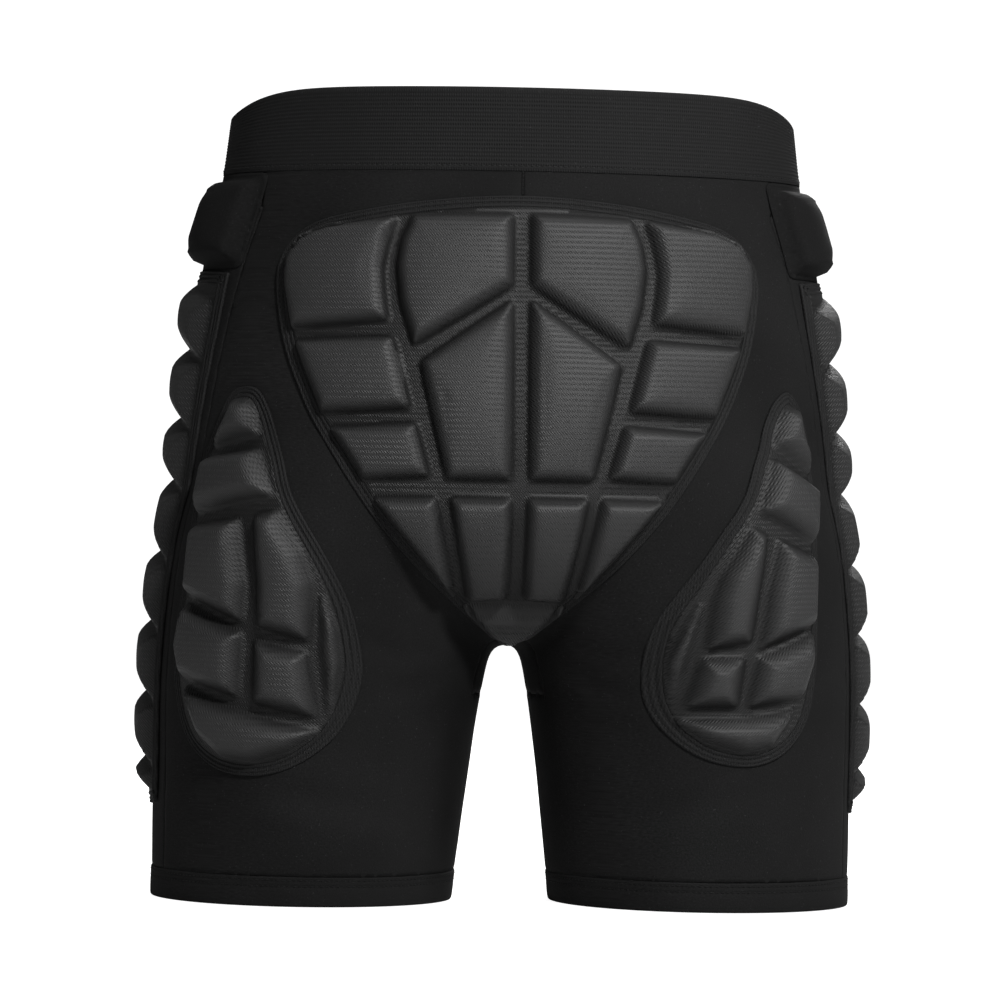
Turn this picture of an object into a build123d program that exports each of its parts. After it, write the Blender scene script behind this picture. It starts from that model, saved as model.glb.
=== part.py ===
from build123d import *
from functools import lru_cache
import math
import os

# Padded impact shorts, standing on their leg hems.
# +Z is up, +Y is the wearer's forward and +X is the wearer's right. Millimetres.

WAIST_TOP = 415.0
BAND_HEIGHT = 42.5
HEM_HEIGHT = 15.0
JERSEY = 1.5
ELASTIC = 2.2
HEM_FOLD = 2.4
HEM_PROUD = 0.4
THREAD = 0.5
EASE = 0.05
BACKING = 2.0
WEB = 1.2
SEAT_RISE = 9.5
THIGH_RISE = 11.0
SIDE_RISE = 10.0
HIP_FOAM = 10.0
HIP_COVER = 1.2
THIGH_TURN = 40.0

BAND_BOTTOM = WAIST_TOP - BAND_HEIGHT

# Height, half width, half depth and y of the centre of the hips.
PELVIS = [
    (210, 171, 116, -5),
    (245, 168, 116, -4),
    (285, 164, 112, -2),
    (325, 159.5, 108, 1),
    (372.5, 149.5, 103, 4),
    (415, 145.5, 101, 5),
]
CROTCH_DROP = 78.0

# Height, inner edge, outer edge, half depth and y of the centre of one leg.
LEG = [
    (0, 25.5, 181, 88, 0),
    (51, 19.5, 181, 92, -1),
    (95, 14, 181.5, 96, -2),
    (123, 9, 181, 98.5, -3),
    (155, 2, 178.5, 102, -4),
    (190, 0, 173.5, 104.5, -5),
    (225, 3, 164, 101.5, -5),
    (257, 12, 150, 88, -4),
]

# Height and half width, front to back, of the side panel and of its pad.
SIDE_PANEL = [(0, 34), (60, 36), (200, 44), (320, 51), (400, 54)]
SIDE_PAD = [(49, 20), (55, 26), (115, 31), (195, 37), (265, 42), (315, 44), (321, 38)]
RIB_LEVELS = [54, 75.5, 109, 145, 180.5, 217, 248.5, 283.5, 316]
RIB_GAP = 5.0
RIB_FLANGE = 5.0
HIP_PAD = (326, 369, 48)

# How far the finished pieces move forward, to centre the whole depth on the origin.
FORWARD = 9.3

# The right half of each outline of the tailbone pad, as (x, z).
SEAT_EDGE = [
    (0, 360), (46.5, 357), (83.5, 351), (105, 344.5), (117.5, 332.5), (122, 316),
    (118, 285), (107.5, 255), (95, 231), (76, 202), (54.5, 177), (36, 159.5),
    (21.5, 147.5), (8.5, 139), (0, 136),
]
SEAT_CELLS = [
    [(61.5, 348), (95.5, 344), (110, 338.5), (116.5, 326.5), (116.5, 313), (112.5, 291.5), (65.5, 295.5), (68.5, 321.5)],
    [(4.5, 350), (54, 348.5), (61.5, 318), (53, 283), (4.5, 314)],
    [(4.5, 306.5), (49.5, 274.5), (36, 217), (4.5, 217)],
    [(63, 287.5), (111, 285), (97.5, 249), (54, 251.5)],
    [(51.5, 244.5), (94, 241.5), (78, 216), (44, 218)],
    [(41, 208), (73, 207.5), (30, 159.5)],
    [(4, 208), (34, 208), (24, 159.5), (4, 160.5)],
]
SEAT_TAIL = [(-26, 155), (26, 155), (11, 143), (0, 139.5), (-11, 143)]

# Outlines of the left thigh pad, seen square on, as (across, z).
THIGH_EDGE = [
    (-61, 263.5), (-50, 257), (-41, 241.5), (-23.5, 208), (-8, 186), (3.5, 166), (11, 146.5),
    (13, 129.5), (11, 111), (4, 91.5), (-9, 77.5), (-27, 70.5), (-45, 70), (-63, 75), (-78, 88),
    (-88, 106), (-92, 127.5), (-90, 156.5), (-89, 209.5), (-83, 236.5), (-73, 257),
]
THIGH_CELLS = [
    [(-68, 256.5), (-54, 255), (-47.5, 235), (-78.5, 225)],
    [(-83, 220), (-44.5, 229.5), (-31.5, 204), (-83, 192)],
    [(-83, 185.5), (-47, 192.5), (-41.5, 164), (-41.5, 138.5), (-83, 152.5)],
    [(-39.5, 194.5), (-27, 198), (-11.5, 175.5), (-7, 159.5), (-8.5, 133.5), (-34.5, 138.5), (-34.5, 164)],
    [(-83, 146), (-41, 132), (-41, 104.5), (-81.5, 113.5), (-86, 129.5)],
    [(-34, 131.5), (-8.5, 128), (-6, 99), (-34, 102.5)],
    [(-78.5, 106.5), (-41, 98.5), (-4, 93.5), (-18, 82), (-39, 76.5), (-58, 81), (-71, 91.5)],
    [(-3.5, 160.5), (6, 143), (8, 126.5), (2, 98.5), (-1, 108), (-2, 127.5)],
]


def hips(rise, over):
    """The hips from the waist down to the rounded crotch, grown by rise."""
    rows = [(z + over if z == WAIST_TOP else z, a, b, y) for z, a, b, y in PELVIS]
    rings = [Plane(origin=(0, y, z)) * Ellipse(a + rise, b + rise) for z, a, b, y in rows]
    z, a, b, y = PELVIS[0]
    drop = CROTCH_DROP + rise
    ball = Solid.make_sphere(drop, angle1=-90, angle2=0)
    bowl = scale(ball, by=((a + rise) / drop, (b + rise) / drop, 1))
    return loft(rings) + Pos(0, y, z) * bowl


def leg(rise, over):
    """One leg tube, on the right side."""
    rings = []
    for z, inner, outer, b, y in LEG:
        a = (outer - inner) / 2 + rise
        middle = Plane(origin=((inner + outer) / 2, y, z - over if z == 0 else z))
        rings.append(middle * Ellipse(a, b + rise))
    return loft(rings)


@lru_cache
def body(rise, over=0):
    """The whole outside of the shorts as one solid, grown by rise."""
    right = leg(rise, over)
    return hips(rise, over) + right + mirror(right, Plane.YZ)


def layer(low, high, over=1):
    """The skin between two heights above the outside of the jersey."""
    return body(high) - body(low, over)


def slab(low, high):
    """Everything between two heights."""
    return Pos(0, 0, (low + high) / 2) * Box(500, 400, high - low)


def half(side):
    """Everything on one side of the middle: 1 is right, -1 is left."""
    return Pos(side * 150, 0, 215) * Box(300, 400, 440)


def behind(points, start=12):
    """A column standing straight back from an (x, z) outline."""
    plane = Plane(origin=(0, -start, 0), x_dir=(1, 0, 0), z_dir=(0, -1, 0))
    return extrude(plane * make_face(Polyline(*points, close=True)), amount=200)


def beside(points):
    """A column standing out to the right from a (y, z) outline."""
    plane = Plane(origin=(100, 0, 0), x_dir=(0, 1, 0), z_dir=(1, 0, 0))
    return extrude(plane * make_face(Polyline(*points, close=True)), amount=120)


def over_thigh(points):
    """A column standing out and back from the left thigh."""
    turn = math.radians(THIGH_TURN)
    out = (-math.sin(turn), -math.cos(turn), 0)
    start = tuple(50 * part for part in out)
    plane = Plane(origin=start, x_dir=(math.cos(turn), -math.sin(turn), 0), z_dir=out)
    return extrude(plane * make_face(Polyline(*points, close=True)), amount=160)


def both_ways(points):
    """An outline and its mirror image, joined into one loop."""
    return points + [(-x, z) for x, z in reversed(points) if x != 0]


def strip(rows, shrink=0):
    """A loop around a band of given half widths, less a margin all round."""
    low, high = rows[0][0] + shrink, rows[-1][0] - shrink
    kept = [(w - shrink, min(max(z, low), high)) for z, w in rows]
    return kept + [(-w, z) for w, z in reversed(kept)]


def width_at(rows, height):
    """The half width of a band at one height."""
    for (z0, w0), (z1, w1) in zip(rows, rows[1:]):
        if z0 <= height <= z1:
            return w0 + (w1 - w0) * (height - z0) / (z1 - z0)
    return rows[-1][1]


def save(name, shape):
    placed = Pos(0, FORWARD, 0) * shape
    placed.label = name
    export_step(placed, f"parts/{name}.step")


def save_pair(name, right):
    """One piece made for the right side, and its mirror image."""
    save(name + "_right", right)
    save(name + "_left", mirror(right, Plane.YZ))


def shell_pieces():
    jersey = layer(-JERSEY, 0) & slab(HEM_HEIGHT, BAND_BOTTOM)
    side = beside(strip(SIDE_PANEL))
    gusset = Pos(0, 0, 137) * Box(40, 80, 58)
    save("crotch_gusset", jersey & gusset)
    side_panel = jersey & side
    save_pair("side_panel", side_panel)
    rest = (jersey & half(1)) - side - gusset
    save_pair("back_panel", rest & (Pos(0, -100, 215) * Box(500, 200, 440)))
    save_pair("front_panel", rest & (Pos(0, 100, 215) * Box(500, 200, 440)))


def waist_pieces():
    elastic = layer(0.6 - ELASTIC, 0.6) & slab(BAND_BOTTOM, WAIST_TOP)
    save("waistband", elastic)
    save("waistband_seam_thread", layer(0.6 + EASE, 0.6 + THREAD) & slab(BAND_BOTTOM + 2, BAND_BOTTOM + 3))
    seam = Pos(0, -100, 366.5) * Box(1.8, 160, 12)
    save("centre_back_seam", layer(EASE, 0.8) & seam)


def hem_pieces():
    hem = leg(HEM_PROUD, 0) - leg(HEM_PROUD - HEM_FOLD, 1)
    save_pair("leg_hem", hem & slab(0, HEM_HEIGHT))
    rows = leg(HEM_PROUD + THREAD, 0) - leg(HEM_PROUD + EASE, 1)
    save_pair("hem_thread", (rows & slab(10, 10.8)) + (rows & slab(13, 13.8)))


def seat_pieces():
    edge = both_ways(SEAT_EDGE)
    save("seat_pad_backing", layer(EASE, BACKING) & behind(edge))
    inside = [(x * 0.95, 255 + (z - 255) * 0.955) for x, z in edge]
    web = layer(BACKING + EASE, BACKING + WEB) & behind(inside)
    columns = [behind(SEAT_TAIL)]
    for cell in SEAT_CELLS:
        column = behind(cell)
        columns += [column, mirror(column, Plane.YZ)]
    raised = layer(BACKING + EASE, SEAT_RISE)
    blocks = [raised & column for column in columns]
    save("seat_pad_foam", Part() + web + blocks)


def thigh_pieces():
    backing = layer(EASE, BACKING) & over_thigh(THIGH_EDGE)
    inside = [(-46 + (u + 46) * 0.92, 165 + (z - 165) * 0.95) for u, z in THIGH_EDGE]
    web = layer(BACKING + EASE, BACKING + WEB) & over_thigh(inside)
    raised = layer(BACKING + EASE, THIGH_RISE)
    blocks = [raised & over_thigh(cell) for cell in THIGH_CELLS]
    save_pair("thigh_pad_backing", mirror(backing, Plane.YZ))
    save_pair("thigh_pad_foam", mirror(Part() + web + blocks, Plane.YZ))


def side_pieces():
    save_pair("side_pad_backing", layer(EASE, BACKING) & beside(strip(SIDE_PAD)))
    web = layer(BACKING + EASE, BACKING + WEB) & beside(strip(SIDE_PAD, 4))
    raised = layer(BACKING + EASE, SIDE_RISE)
    blocks = []
    for level, following in zip(RIB_LEVELS, RIB_LEVELS[1:]):
        low, high = level + RIB_GAP / 2, following - RIB_GAP / 2
        wide = min(width_at(SIDE_PAD, low), width_at(SIDE_PAD, high)) - RIB_FLANGE
        blocks.append(raised & beside([(-wide, low), (wide, low), (wide, high), (-wide, high)]))
    save_pair("side_pad_foam", Part() + web + blocks)


def hip_pieces():
    low, high, wide = HIP_PAD
    foam = [(-wide, low), (wide, low), (wide, high), (-wide, high)]
    cover = [(-wide - 3, low - 3), (wide + 3, low - 3), (wide + 3, high + 3), (-wide - 3, high + 3)]
    room = [(math.copysign(wide + EASE, y), z + math.copysign(EASE, z - low - 1)) for y, z in foam]
    pad = layer(EASE, HIP_FOAM) & beside(foam)
    pocket = body(HIP_FOAM + EASE) & beside(room)
    skin = (layer(EASE, HIP_FOAM + HIP_COVER) & beside(cover)) - pocket
    save_pair("hip_pad_foam", pad)
    save_pair("hip_pad_cover", skin)


os.makedirs("parts", exist_ok=True)
shell_pieces()
waist_pieces()
hem_pieces()
seat_pieces()
thigh_pieces()
side_pieces()
hip_pieces()
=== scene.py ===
# %% [markdown]
# # Padded impact shorts
# These shorts are worn under snow trousers. A close-fitting jersey carries foam pads over the tailbone,
# the backs of the thighs, the hips and the sides. They stand here in their worn shape, on their hems.
# Each step below makes one sewn part, in the order in which the real one goes together.

# %% Start with the measured frame
import bpy
import bmesh
import math
from mathutils import Matrix, Vector, noise
from mathutils.bvhtree import BVHTree
from mathutils.geometry import delaunay_2d_cdt


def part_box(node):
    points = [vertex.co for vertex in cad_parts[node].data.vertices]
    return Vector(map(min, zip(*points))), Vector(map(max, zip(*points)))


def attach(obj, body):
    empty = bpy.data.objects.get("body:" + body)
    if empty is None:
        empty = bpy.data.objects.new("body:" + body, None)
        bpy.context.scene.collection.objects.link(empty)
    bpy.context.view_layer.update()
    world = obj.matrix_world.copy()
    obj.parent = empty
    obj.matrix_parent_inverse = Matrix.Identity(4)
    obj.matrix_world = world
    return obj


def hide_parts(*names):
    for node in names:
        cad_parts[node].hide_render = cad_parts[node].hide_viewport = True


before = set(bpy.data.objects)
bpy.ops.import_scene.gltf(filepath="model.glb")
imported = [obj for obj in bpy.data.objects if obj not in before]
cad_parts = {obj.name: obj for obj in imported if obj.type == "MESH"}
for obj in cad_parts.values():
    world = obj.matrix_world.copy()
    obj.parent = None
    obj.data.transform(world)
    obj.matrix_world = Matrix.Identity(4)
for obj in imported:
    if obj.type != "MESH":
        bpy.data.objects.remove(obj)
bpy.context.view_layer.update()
MM = 0.001


# %% [markdown]
# ## Small helpers
# Blender's operators act on all that is selected, so each helper starts from nothing selected.
# A mesh built in code is used for cloth and pads only, where no operator can follow the body.

# %% Helpers for selecting and building
def only(*pieces):
    bpy.ops.object.select_all(action="DESELECT")
    for piece in pieces:
        piece.select_set(True)
    bpy.context.view_layer.objects.active = pieces[0]


def add_mesh(name, points, faces):
    mesh = bpy.data.meshes.new(name)
    mesh.from_pydata([tuple(p) for p in points], [], faces)
    mesh.update()
    piece = bpy.data.objects.new(name, mesh)
    bpy.context.scene.collection.objects.link(piece)
    return piece


def apply_modifier(piece, kind, **values):
    only(piece)
    modifier = piece.modifiers.new(kind.title(), kind)
    for key, value in values.items():
        setattr(modifier, key, value)
    bpy.ops.object.modifier_apply(modifier=modifier.name)


def smooth(piece):
    piece.data.shade_smooth()


print("selecting and building helpers are ready")


# %% [markdown]
# ## Reading a table of sizes
# Bodies and pads are described by a few measured rows. Between two rows a smooth curve is wanted,
# or the cloth would show a crease at each row, so a cubic through the neighbouring rows is read.

# %% Read a smooth curve through a table
def cubic(t, start, lead, end, tail):
    """A smooth way from start to end, with the slope at each."""
    return ((2 * t**3 - 3 * t**2 + 1) * start + (t**3 - 2 * t**2 + t) * lead
            + (3 * t**2 - 2 * t**3) * end + (t**3 - t**2) * tail)


def through(rows, at):
    """A smooth curve through a table of rows, read at one value of its first column."""
    last = len(rows) - 1
    spot = next((i for i in range(last) if at <= rows[i + 1][0]), last - 1)
    a, b = rows[spot], rows[spot + 1]
    before = rows[max(spot - 1, 0)]
    after = rows[min(spot + 2, last)]
    span = b[0] - a[0]
    t = min(max((at - a[0]) / span, -0.2), 1.2)
    values = []
    for k in range(1, len(a)):
        lead = (b[k] - before[k]) / (b[0] - before[0]) * span
        tail = (after[k] - a[k]) / (after[0] - a[0]) * span
        values.append(cubic(t, a[k], lead, b[k], tail))
    return values


print("halfway between 0 and 10:", through([(0, 0), (1, 10)], 0.5))


# %% [markdown]
# ## The body that the shorts are worn on
# Shorts have no shape of their own: they take it from the wearer. So a dummy of the hips and
# thighs comes first, and every cloth and pad is laid on it. The hips and the two legs are tubes,
# each made from one circle that is extruded and scaled ring by ring. A voxel remesh then melts
# the three tubes into one, and smoothing rounds the crease between the legs as skin does.

# %% Rings of the hips and of one leg
# Each row of HIPS is height, half width, half depth and y of the centre, in millimetres.
# Each row of LEG is height, inner edge, outer edge, half depth and y of the centre.
HIPS = [
    (210, 171, 116, -5), (245, 168, 116, -4), (285, 164, 112, -2),
    (325, 159.5, 108, 1), (372.5, 149.5, 103, 4), (415, 145.5, 101, 5), (430, 145, 100.5, 5),
]
LEG = [
    (-10, 26.5, 181, 87.5, 0), (0, 25.5, 181, 88, 0), (51, 19.5, 181, 92, -1), (95, 14, 181.5, 96, -2),
    (123, 9, 181, 98.5, -3), (155, 2, 178.5, 102, -4), (190, 0, 173.5, 104.5, -5),
    (225, 3, 164, 101.5, -5), (257, 12, 150, 88, -4),
]
HIPS_FOOT = 210
CROTCH_DROP = 78
WAIST_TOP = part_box("waistband")[1][2]
BAND_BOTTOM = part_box("waistband")[0][2]
HEM_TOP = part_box("leg_hem_left")[1][2]
print("waist at", round(WAIST_TOP, 4), "band from", round(BAND_BOTTOM, 4), "hem up to", round(HEM_TOP, 4))


# %% [markdown]
# ## Tubes made from one circle
# A tube could be lofted in code, but an extruded circle is what one would do by hand: each ring is
# extruded, moved to its height and scaled to its width and depth.

# %% Read a ring and extrude a tube
def ring_at(rows, z):
    """Centre x and y, half width and half depth of a ring, in millimetres."""
    if len(rows[0]) == 4:
        if z < rows[0][0]:
            share = math.sqrt(max(1 - ((rows[0][0] - z) / CROTCH_DROP) ** 2, 0.0004))
            return 0, rows[0][3], rows[0][1] * share, rows[0][2] * share
        a, b, y = through(rows, z)
        return 0, y, a, b
    inner, outer, b, y = through(rows, z)
    return (inner + outer) / 2, y, (outer - inner) / 2, b


def ring_tube(name, rows, levels, side=1, turns=120):
    """A closed tube, extruded from one circle and scaled at each level."""
    bpy.ops.object.select_all(action="DESELECT")
    x, y, a, b = [value * MM for value in ring_at(rows, levels[0])]
    centre = (side * x, y, levels[0] * MM)
    bpy.ops.mesh.primitive_circle_add(vertices=turns, radius=1, fill_type="NGON")
    tube = bpy.context.object
    tube.name = name
    bpy.ops.object.mode_set(mode="EDIT")
    bpy.ops.transform.resize(value=(a, b, 1), center_override=(0, 0, 0))
    bpy.ops.transform.translate(value=centre)
    for level in levels[1:]:
        x1, y1, a1, b1 = [value * MM for value in ring_at(rows, level)]
        spot = (side * x1, y1, level * MM)
        move = tuple(spot[k] - centre[k] for k in range(3))
        bpy.ops.mesh.extrude_region_move(TRANSFORM_OT_translate={"value": move})
        bpy.ops.transform.resize(value=(a1 / a, b1 / b, 1), center_override=spot)
        centre, a, b = spot, a1, b1
    bpy.ops.mesh.select_all(action="SELECT")
    bpy.ops.mesh.normals_make_consistent(inside=False)
    bpy.ops.object.mode_set(mode="OBJECT")
    return tube


print("ring at the widest place:", ring_at(HIPS, HIPS_FOOT))

# %% Melt the three tubes into one body
bowl = [HIPS_FOOT - CROTCH_DROP * math.cos(math.radians(6 * step)) for step in range(1, 15)]
hips = ring_tube("hips", HIPS, bowl + list(range(HIPS_FOOT, 430, 15)))
legs = [ring_tube(f"leg{side}", LEG, list(range(-10, 258, 16)), side) for side in (-1, 1)]
only(hips, *legs)
bpy.ops.object.join()
body = bpy.context.object
body.name = "dummy_body"
apply_modifier(body, "REMESH", mode="VOXEL", voxel_size=3.2 * MM)
apply_modifier(body, "SMOOTH", factor=0.5, iterations=14)
print("dummy body faces:", len(body.data.polygons), "size:", tuple(round(v, 3) for v in body.dimensions))


# %% [markdown]
# ## Laying a flat cutting on the body
# Every pad is moulded flat and then sewn on. So each is drawn flat, in millimetres across and up,
# and a ray from each of its points finds the place on the body under it. The point then stands off
# the skin by its own height, along the skin's smoothed normal.

# %% Find the body under a point
class Skin:
    """The body's surface, read by rays, with smooth normals."""

    def __init__(self, piece):
        self.mesh = piece.data
        self.mesh.calc_loop_triangles()
        self.points = [v.co.copy() for v in self.mesh.vertices]
        self.normals = [v.normal.copy() for v in self.mesh.vertices]
        self.corners = [tuple(t.vertices) for t in self.mesh.loop_triangles]
        self.tree = BVHTree.FromPolygons(self.points, self.corners)

    def read(self, spot, index):
        a, b, c = self.corners[index]
        pa, pb, pc = self.points[a], self.points[b], self.points[c]
        whole = (pb - pa).cross(pc - pa)
        size = whole.length_squared
        share_a = (pb - spot).cross(pc - spot).dot(whole) / size
        share_b = (pc - spot).cross(pa - spot).dot(whole) / size
        share_c = 1 - share_a - share_b
        normal = self.normals[a] * share_a + self.normals[b] * share_b + self.normals[c] * share_c
        return normal.normalized()

    def hit(self, start, way):
        spot, _, index, _ = self.tree.ray_cast(start, way)
        if spot is None:
            spot, _, index, _ = self.tree.find_nearest(start)
        return spot, self.read(spot, index)


skin = Skin(body)
print("the skin has", len(skin.corners), "triangles")


# %% [markdown]
# ## A cutting table that faces the body
# A pad could be wrapped with Shrinkwrap, but then its cells would slide. A flat table that faces
# the body keeps the drawing true as it is seen square on, so each point goes straight in.

# %% Lay a flat point on the body
class Lay:
    """A flat cutting table: across and up, and the way in to the body."""

    def __init__(self, turn, reach=0.3):
        angle = math.radians(turn)
        self.across = Vector((math.cos(angle), -math.sin(angle), 0))
        self.out = Vector((-math.sin(angle), -math.cos(angle), 0))
        self.reach = reach

    def place(self, u, v, height):
        start = self.across * (u * MM) + Vector((0, 0, v * MM)) + self.out * self.reach
        spot, normal = skin.hit(start, -self.out)
        return spot + normal * (height * MM)


def mirrored(points):
    return [(-u, v) for u, v in reversed(points)]


print("the middle of the seat lies at", tuple(round(v, 4) for v in Lay(0).place(0, 250, 0)))


# %% [markdown]
# ## Drawing outlines
# An outline is given by a few points and drawn as a smooth closed curve through them, sampled
# evenly, because stitches and the edge band follow it.

# %% Smooth outlines
def curve_loop(points, spacing, tight=0.5):
    """A closed curve through the points, sampled about every spacing millimetres."""
    count = len(points)
    dense = []
    for i in range(count):
        p0, p1, p2, p3 = [Vector(points[(i + k - 1) % count]) for k in range(4)]
        for step in range(24):
            t = step / 24
            lead, tail = (p2 - p0) * tight, (p3 - p1) * tight
            dense.append(cubic(t, p1, lead, p2, tail))
    return even_loop(dense, spacing)


def even_loop(dense, spacing):
    """The same loop, sampled again with equal steps."""
    lengths = [0.0]
    for i, point in enumerate(dense):
        lengths.append(lengths[-1] + (dense[(i + 1) % len(dense)] - point).length)
    total = lengths[-1]
    steps = max(int(round(total / spacing)), 8)
    loop, at = [], 0
    for n in range(steps):
        goal = total * n / steps
        while lengths[at + 1] < goal:
            at += 1
        share = (goal - lengths[at]) / max(lengths[at + 1] - lengths[at], 1e-9)
        loop.append(dense[at].lerp(dense[(at + 1) % len(dense)], share))
    return loop


print("a drawn circle has", len(curve_loop([(9, 0), (0, 9), (-9, 0), (0, -9)], 1.6)), "points")


# %% [markdown]
# ## Working inside an outline
# Stitches and walls run at a set distance inside an outline. The few sums for that are kept here:
# the way in, a smaller copy, rounded corners, and how far inside a point lies.

# %% Insets, corners and distances
def area_of(loop):
    return sum(a.cross(b) for a, b in zip(loop, loop[1:] + loop[:1])) / 2


def inward(loop):
    """The direction into the loop at each of its points."""
    turn = 1 if area_of(loop) > 0 else -1
    ways = []
    for i in range(len(loop)):
        along = loop[(i + 1) % len(loop)] - loop[i - 1]
        ways.append(Vector((-along.y, along.x)).normalized() * turn)
    return ways


def inset_loop(loop, depth):
    return [point + way * depth for point, way in zip(loop, inward(loop))]


def round_corners(points, radius=3.0):
    """A polygon with each corner cut to a small arc."""
    result = []
    count = len(points)
    for i in range(count):
        before, here, after = [Vector(points[(i + k - 1) % count]) for k in range(3)]
        cut_in = min(radius, (before - here).length * 0.4)
        cut_out = min(radius, (after - here).length * 0.4)
        start = here + (before - here).normalized() * cut_in
        end = here + (after - here).normalized() * cut_out
        for step in range(5):
            t = step / 4
            result.append((1 - t) ** 2 * start + 2 * t * (1 - t) * here + t * t * end)
    return result


def inside(point, loop):
    odd = False
    for a, b in zip(loop, loop[1:] + loop[:1]):
        if (a.y > point.y) != (b.y > point.y):
            if point.x < a.x + (point.y - a.y) * (b.x - a.x) / (b.y - a.y):
                odd = not odd
    return odd


def distance(point, loop):
    best = 1e9
    for a, b in zip(loop, loop[1:] + loop[:1]):
        run = b - a
        t = min(max((point - a).dot(run) / max(run.length_squared, 1e-12), 0), 1)
        best = min(best, (a + run * t - point).length_squared)
    return math.sqrt(best)


print("rounded square:", len(round_corners([(0, 0), (9, 0), (9, 9), (0, 9)])), "points")


# %% [markdown]
# ## A moulded pad
# The real pads are sheets of foam pressed hot between two layers of knit. The press leaves raised
# cells with sloping walls and thin valleys between them. The sheet is drawn here as a net of small
# triangles that follows the outline of each cell, so the foot of every wall is a clean line. A
# point's height depends on how far inside its cell it lies.

# %% Build the net of a pad
WALL_STEPS = (0.2, 0.45, 0.72, 1.0)


def net_of(edge, cells, spacing, slope):
    """Triangles inside the edge that follow each cell's outline, with each point's cell and depth."""
    points = list(edge)
    lines = [(i, (i + 1) % len(edge)) for i in range(len(edge))]
    marks = [(-1, 0.0)] * len(edge)
    taken = {}

    def claim(point):
        taken.setdefault((int(point.x // spacing), int(point.y // spacing)), []).append(point)

    def free(point, room):
        cx, cy = int(point.x // spacing), int(point.y // spacing)
        for x in range(cx - 1, cx + 2):
            for y in range(cy - 1, cy + 2):
                if any((point - other).length < room for other in taken.get((x, y), ())):
                    return False
        return True

    for point in edge:
        claim(point)
    for number, cell in enumerate(cells):
        first = len(points)
        points += cell
        marks += [(number, 0.0)] * len(cell)
        lines += [(first + i, first + (i + 1) % len(cell)) for i in range(len(cell))]
        for point in cell:
            claim(point)
        for depth in [slope * step for step in WALL_STEPS]:
            for point in inset_loop(cell, depth):
                if (inside(point, cell) and distance(point, cell) > depth * 0.97
                        and free(point, spacing * 0.5)):
                    points.append(point)
                    marks.append((number, depth))
                    claim(point)
    boxes = [(min(p.x for p in c), max(p.x for p in c), min(p.y for p in c), max(p.y for p in c))
             for c in cells]
    low = Vector((min(p.x for p in edge), min(p.y for p in edge)))
    high = Vector((max(p.x for p in edge), max(p.y for p in edge)))
    row = 0
    y = low.y
    while y < high.y:
        x = low.x + (row % 2) * spacing / 2
        while x < high.x:
            point = Vector((x, y))
            x += spacing
            if (not inside(point, edge) or distance(point, edge) < spacing * 0.5
                    or not free(point, spacing * 0.6)):
                continue
            home, depth = -1, 0.0
            for number, (x0, x1, y0, y1) in enumerate(boxes):
                if x0 < point.x < x1 and y0 < point.y < y1 and inside(point, cells[number]):
                    home, depth = number, distance(point, cells[number])
            points.append(point)
            marks.append((home, depth))
        y += spacing * 0.866
        row += 1
    spots, _, faces, origins, _, _ = delaunay_2d_cdt(points, lines, [list(range(len(edge)))], 1, 1e-6)
    result = [marks[origin[0]] if origin else (-1, 0.0) for origin in origins]
    return spots, faces, result


print("walls have", len(WALL_STEPS), "rows of points")


# %% [markdown]
# ## From flat net to closed pad
# The net is raised cell by cell, puffed, and laid on the body. A coarser copy of the outline makes
# the underside, a rim of quads joins the two, and the flat drawing is kept as the UV map, so that
# the knit follows the moulding.

# %% Close the rim and keep the flat map
def rim_between(spots, under_spots, edge, shift):
    """Quads that join the top's edge to the underside's."""
    def index(found):
        table = {}
        for i, s in enumerate(found):
            table[(round(s.x, 3), round(s.y, 3))] = i
        return [table[(round(p.x, 3), round(p.y, 3))] for p in edge]
    above, below = index(spots), index(under_spots)
    turn = area_of(edge) > 0
    quads = []
    for i in range(len(edge)):
        j = (i + 1) % len(edge)
        quad = (above[j], above[i], shift + below[i], shift + below[j])
        quads.append(quad if turn else tuple(reversed(quad)))
    return quads


def store_flat(piece, flats, lifts, rise):
    """Keep the flat map as UV, in metres, and how far each point is raised."""
    layer = piece.data.uv_layers.new(name="Flat")
    for loop in piece.data.loops:
        u, v = flats[loop.vertex_index]
        layer.data[loop.index].uv = (u * MM, v * MM)
    lift = piece.data.attributes.new("lift", "FLOAT", "POINT")
    for i, value in enumerate(lifts):
        lift.data[i].value = min(value / rise, 1.2)


def face_out(piece):
    """Normals outward, by code, on a closed piece."""
    mesh = bmesh.new()
    mesh.from_mesh(piece.data)
    bmesh.ops.recalc_face_normals(mesh, faces=mesh.faces)
    mesh.to_mesh(piece.data)
    mesh.free()


def strip_faces(count, wide):
    """Quads of a closed profile of wide points, swept round count places."""
    faces = []
    for i in range(count):
        j = (i + 1) % count
        for k in range(wide):
            m = (k + 1) % wide
            faces.append((i * wide + k, i * wide + m, j * wide + m, j * wide + k))
    return faces


def other_side(points, faces):
    """The same mesh, mirrored to the right half."""
    return [Vector((-p.x, p.y, p.z)) for p in points], [tuple(reversed(f)) for f in faces]


print("a strip of 10 places and 4 points has", len(strip_faces(10, 4)), "quads")

# %% Raise the cells and lay the pad
CROWN_REACH = 9
UNDER_SPACING = 7
UNDER_GAP = 0.15


def wall(depth, slope):
    """How far up its wall a point stands, from 0 at the foot to 1 on the flat top."""
    t = min(depth / slope, 1)
    return 1 - (1 - t) ** 1.45


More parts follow.
